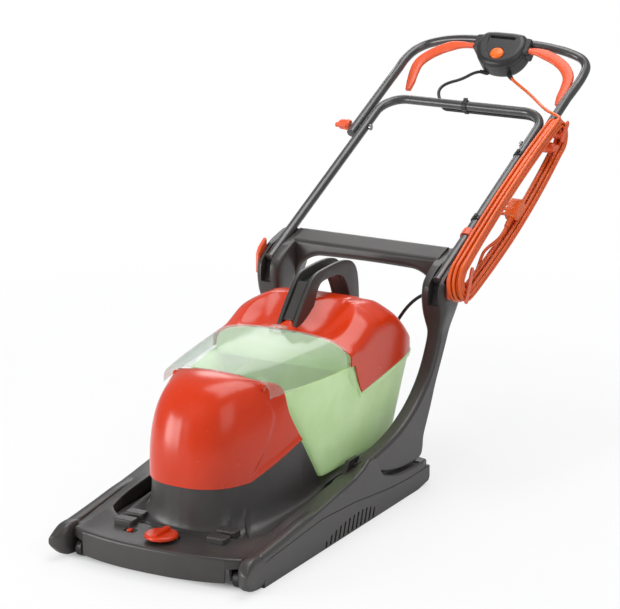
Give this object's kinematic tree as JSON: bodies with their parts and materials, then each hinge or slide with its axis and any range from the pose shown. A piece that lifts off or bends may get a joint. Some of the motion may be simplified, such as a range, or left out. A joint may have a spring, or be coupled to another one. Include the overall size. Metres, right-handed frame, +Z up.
{
  "type": "walk-behind electric lawn mower",
  "caption": "Electric collecting lawn mower with a glide frame, floating cutter hood, translucent grass box and a folding handle that carries the wound mains cable.",
  "frame": {"origin": "middle of the footprint of the whole mower, on the ground", "axes": "+Z up, -Y the way the mower is pushed, +Y towards the user, +X the side of the cable hank, at the right of the picture"},
  "size_m": [0.5, 1.463, 0.7508],
  "materials": {
    "charcoal_plastic": "satin moulded",
    "orange_plastic": "glossy moulded",
    "salmon_plastic": "satin moulded",
    "green_plastic": "translucent moulded",
    "clear_plastic": "clear moulded",
    "painted_tube": "satin paint",
    "steel": "plain",
    "black_plastic": "matt",
    "orange_cord": "satin",
    "black_cord": "satin"
  },
  "bodies": {
    "frame": {"glide_frame": "charcoal_plastic", "side_rail_right": "charcoal_plastic", "side_rail_left": "charcoal_plastic", "pointer_track": "black_plastic", "yoke_pin_right": "steel", "yoke_pin_left": "steel", "motor_cable_hood": "black_cord"},
    "wheel_right": {"front_wheel_right": "black_plastic"},
    "wheel_left": {"front_wheel_left": "black_plastic"},
    "dial": {"height_dial": "orange_plastic"},
    "pointer": {"height_pointer": "orange_plastic"},
    "hood": {"hood": "charcoal_plastic", "motor_cover": "orange_plastic", "motor_housing": "black_plastic", "motor_stator": "steel", "motor_end_cap": "charcoal_plastic", "lower_bearing": "steel", "upper_bearing": "steel", "terminal_block": "black_plastic", "cable_gland": "black_plastic"},
    "rotor": {"motor_rotor": "steel", "impeller": "charcoal_plastic", "cutter_blade": "steel", "blade_spacer": "black_plastic", "blade_nut": "steel"},
    "grass_box": {"grass_box_base": "green_plastic", "grass_box_lid": "orange_plastic", "carry_handle": "charcoal_plastic"},
    "window": {"window": "clear_plastic"},
    "box_release": {"box_release": "charcoal_plastic"},
    "yoke": {"yoke": "charcoal_plastic", "handle_pin_right": "steel", "handle_pin_left": "steel", "cable_grommet": "black_plastic", "motor_cable_tail": "black_cord"},
    "lever_right": {"release_lever_right": "orange_plastic"},
    "lever_left": {"release_lever_left": "orange_plastic"},
    "lower_handle": {"lower_handle": "painted_tube", "knob_bolt_right": "steel", "knob_bolt_left": "steel", "cable_hook_upper": "salmon_plastic", "cable_hook_lower": "salmon_plastic", "cable_clip_lower": "black_plastic", "cable_clip_upper": "black_plastic", "cable_clip_cross": "black_plastic", "motor_cable_handle": "black_cord", "motor_cable_bend": "black_cord", "mains_hank": "orange_cord", "mains_plug": "orange_cord", "mains_tail": "orange_cord"},
    "knob_right": {"wing_knob_right": "salmon_plastic"},
    "knob_left": {"wing_knob_left": "salmon_plastic"},
    "upper_handle": {"upper_handle": "painted_tube", "switch_box_front": "charcoal_plastic", "switch_box_rear": "charcoal_plastic", "switch_unit": "black_plastic", "motor_cable_top": "black_cord", "mains_lead": "orange_cord"},
    "bail": {"start_bail": "salmon_plastic"},
    "lock_button": {"lock_button": "orange_plastic"}
  },
  "joints": [
    {"name": "hood_height", "type": "slide", "parent": "frame", "child": "hood", "axis": [0, 0, 1], "range_m": [-0.01, 0.01], "deforming": ["motor_cable_hood"]},
    {"name": "dial_turn", "type": "hinge", "parent": "frame", "child": "dial", "pos_m": [0, -0.6835, 0.062], "axis": [0, 0, 1], "range_deg": [-60, 60]},
    {"name": "pointer_slide", "type": "slide", "parent": "frame", "child": "pointer", "axis": [1, 0, 0], "range_m": [-0.0035, 0.0035]},
    {"name": "wheel_right_spin", "type": "hinge", "parent": "frame", "child": "wheel_right", "pos_m": [0.163, -0.6885, 0.0165], "axis": [1, 0, 0], "continuous": true},
    {"name": "wheel_left_spin", "type": "hinge", "parent": "frame", "child": "wheel_left", "pos_m": [-0.163, -0.6885, 0.0165], "axis": [1, 0, 0], "continuous": true},
    {"name": "rotor_spin", "type": "hinge", "parent": "hood", "child": "rotor", "pos_m": [0, -0.4565, 0.1], "axis": [0, 0, 1], "continuous": true},
    {"name": "box_lift", "type": "slide", "parent": "hood", "child": "grass_box", "axis": [0, 0, 1], "range_m": [0, 0.3]},
    {"name": "window_hinge", "type": "hinge", "parent": "grass_box", "child": "window", "pos_m": [0, -0.5035, 0.319], "axis": [1, 0, 0], "range_deg": [0, 100]},
    {"name": "box_release_press", "type": "hinge", "parent": "grass_box", "child": "box_release", "pos_m": [0, -0.2235, 0.346], "axis": [-1, 0, 0], "range_deg": [0, 3], "stiffness_Nm_per_rad": 0.6},
    {"name": "yoke_fold", "type": "hinge", "parent": "frame", "child": "yoke", "pos_m": [0, -0.2595, 0.096], "axis": [-1, 0, 0], "range_deg": [-35, 0], "deforming": ["motor_cable_tail"]},
    {"name": "lever_right_tilt", "type": "hinge", "parent": "yoke", "child": "lever_right", "pos_m": [0.2064, 0.0379, 0.355], "axis": [0, -1, 0], "range_deg": [0, 4], "stiffness_Nm_per_rad": 0.6},
    {"name": "lever_left_tilt", "type": "hinge", "parent": "yoke", "child": "lever_left", "pos_m": [-0.2064, 0.0379, 0.355], "axis": [0, 1, 0], "range_deg": [0, 4], "stiffness_Nm_per_rad": 0.6},
    {"name": "handle_fold", "type": "hinge", "parent": "yoke", "child": "lower_handle", "pos_m": [0, 0.0325, 0.389], "axis": [-1, 0, 0], "range_deg": [-150, 0], "deforming": ["motor_cable_bend"]},
    {"name": "knob_right_turn", "type": "hinge", "parent": "lower_handle", "child": "knob_right", "pos_m": [0.22, 0.4285, 0.57758], "axis": [1, 0, 0], "continuous": true},
    {"name": "knob_left_turn", "type": "hinge", "parent": "lower_handle", "child": "knob_left", "pos_m": [-0.22, 0.4285, 0.57758], "axis": [1, 0, 0], "continuous": true},
    {"name": "upper_fold", "type": "hinge", "parent": "lower_handle", "child": "upper_handle", "pos_m": [0, 0.4285, 0.57758], "axis": [1, 0, 0], "range_deg": [-20, 45], "deforming": ["motor_cable_top", "mains_lead"]},
    {"name": "bail_squeeze", "type": "hinge", "parent": "upper_handle", "child": "bail", "pos_m": [0, 0.6805, 0.7195], "axis": [-1, 0, 0], "range_deg": [0, 18], "stiffness_Nm_per_rad": 1},
    {"name": "lock_press", "type": "slide", "parent": "upper_handle", "child": "lock_button", "axis": [0, 0.6947, -0.7193], "range_m": [0, 0.0035], "stiffness_N_per_m": 250}
  ],
  "couplings": [
    {"joint": "dial_turn", "follows": "hood_height", "rad_per_m": 104.7},
    {"joint": "pointer_slide", "follows": "hood_height", "ratio": 0.35}
  ]
}
